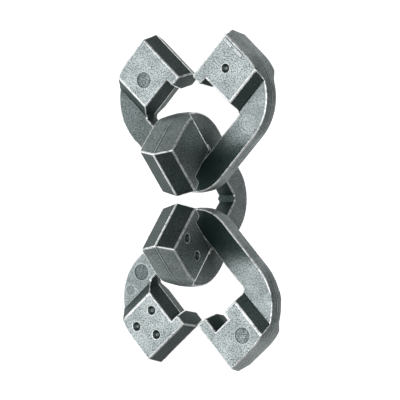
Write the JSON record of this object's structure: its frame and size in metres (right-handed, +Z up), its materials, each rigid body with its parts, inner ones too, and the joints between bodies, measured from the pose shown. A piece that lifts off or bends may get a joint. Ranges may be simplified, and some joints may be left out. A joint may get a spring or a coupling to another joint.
{
  "type": "metal link disentanglement puzzle",
  "caption": "Cast metal disentanglement puzzle: alike C-shaped links with chamfered end blocks, hooked through one another like a short chain and lying on a table.",
  "frame": {"origin": "on the table plane, below the centre of the assembly's bounding box", "axes": "+Y along the chain towards the upper link, +X across it, +Z up from the table"},
  "size_m": [0.0408, 0.0884, 0.0367],
  "materials": {
    "upper_metal": "bead-blasted antique nickel over cast zinc alloy, edges worn bright",
    "middle_metal": "bead-blasted antique nickel over cast zinc alloy, edges worn bright",
    "lower_metal": "bead-blasted antique nickel over cast zinc alloy, edges worn bright"
  },
  "bodies": {
    "upper_link": {"upper_link": "upper_metal"},
    "middle_link": {"middle_link": "middle_metal"},
    "lower_link": {"lower_link": "lower_metal"}
  },
  "joints": [
    {"name": "upper_link_swing", "type": "hinge", "parent": "middle_link", "child": "upper_link", "pos_m": [0.00058, 0.00841, 0.0161], "axis": [0.786, 0.0291, 0.6176], "range_deg": [-60, 52]},
    {"name": "lower_link_swing", "type": "hinge", "parent": "middle_link", "child": "lower_link", "pos_m": [0.00169, -0.00863, 0.01681], "axis": [0.786, 0.0291, 0.6176], "range_deg": [-50, 48]}
  ]
}
